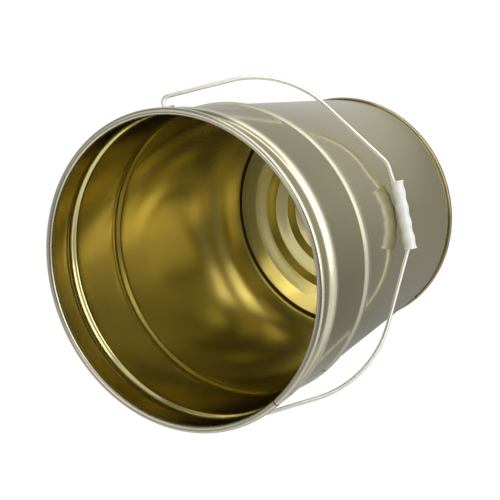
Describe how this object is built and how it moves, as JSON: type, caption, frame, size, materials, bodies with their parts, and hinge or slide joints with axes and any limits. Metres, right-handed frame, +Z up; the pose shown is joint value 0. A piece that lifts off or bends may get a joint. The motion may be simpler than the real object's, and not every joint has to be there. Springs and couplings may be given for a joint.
{
  "type": "open-head paint pail",
  "caption": "Tapered open-head steel pail for paint with a rolled rim, two rolling hoops, recessed ringed bottom, and a wire bail with a loose grip.",
  "frame": {"origin": "centre of the base, on the plane that the double seam stands on", "axes": "+Z up along the pail's axis, +X through the right-hand bail ear, the bail is stored towards -Y"},
  "size_m": [0.3183, 0.3, 0.34],
  "materials": {
    "body_paint": "satin champagne coating outside, olive-gold lacquer inside",
    "gold_lacquer": "semi-gloss olive-gold lacquer over tinned steel",
    "compound": "matt black sealing compound",
    "ear_metal": "bright tinned steel",
    "wire_metal": "bright zinc-plated wire",
    "grip_plastic": "milky white moulded plastic, semi-gloss"
  },
  "bodies": {
    "can": {"body_shell": "body_paint", "bottom_end": "gold_lacquer", "seam_compound": "compound", "ear_left": "ear_metal", "ear_right": "ear_metal"},
    "bail": {"bail_wire": "wire_metal"},
    "grip": {"grip": "grip_plastic"}
  },
  "joints": [
    {"name": "bail_hinge", "type": "hinge", "parent": "can", "child": "bail", "pos_m": [0, 0, 0.2746], "axis": [-1, 0, 0], "range_deg": [0, 262.2]},
    {"name": "grip_spin", "type": "hinge", "parent": "bail", "child": "grip", "pos_m": [-0.0169, -0.14046, 0.15207], "axis": [0.9936, -0.0853, -0.0744], "continuous": true}
  ]
}
